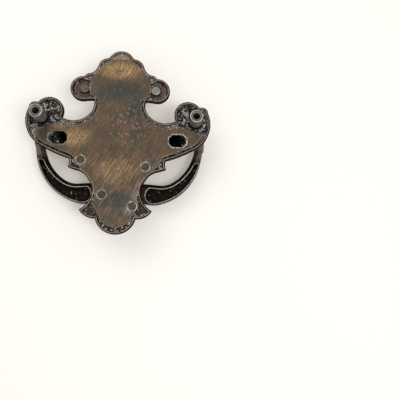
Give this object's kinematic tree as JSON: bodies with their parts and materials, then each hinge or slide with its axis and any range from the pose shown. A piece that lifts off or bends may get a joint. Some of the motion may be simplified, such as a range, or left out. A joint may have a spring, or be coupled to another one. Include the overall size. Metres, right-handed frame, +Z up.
{
  "type": "bail pull",
  "caption": "Cast bail pull with a shaped backplate, hollow bosses, tapped posts on the back and a swinging hollow-backed bail.",
  "frame": {"origin": "on the back face of the plate, midway between the axes of the two mounting posts", "axes": "+X from post to post, +Y out of the back face along the posts, towards the drawer front, +Z up, with the bail hanging down"},
  "size_m": [0.0912, 0.0254, 0.0932],
  "materials": {
    "cast_back": "as-cast, ground flat on the land, darkened",
    "dark_bail": "darkened, smooth"
  },
  "bodies": {
    "plate": {"backplate": "cast_back"},
    "bail": {"bail": "dark_bail"}
  },
  "joints": [
    {"name": "bail_swing", "type": "hinge", "parent": "plate", "child": "bail", "pos_m": [0, -0.0112, -0.0096], "axis": [-1, 0, 0], "range_deg": [-8, 188]}
  ]
}
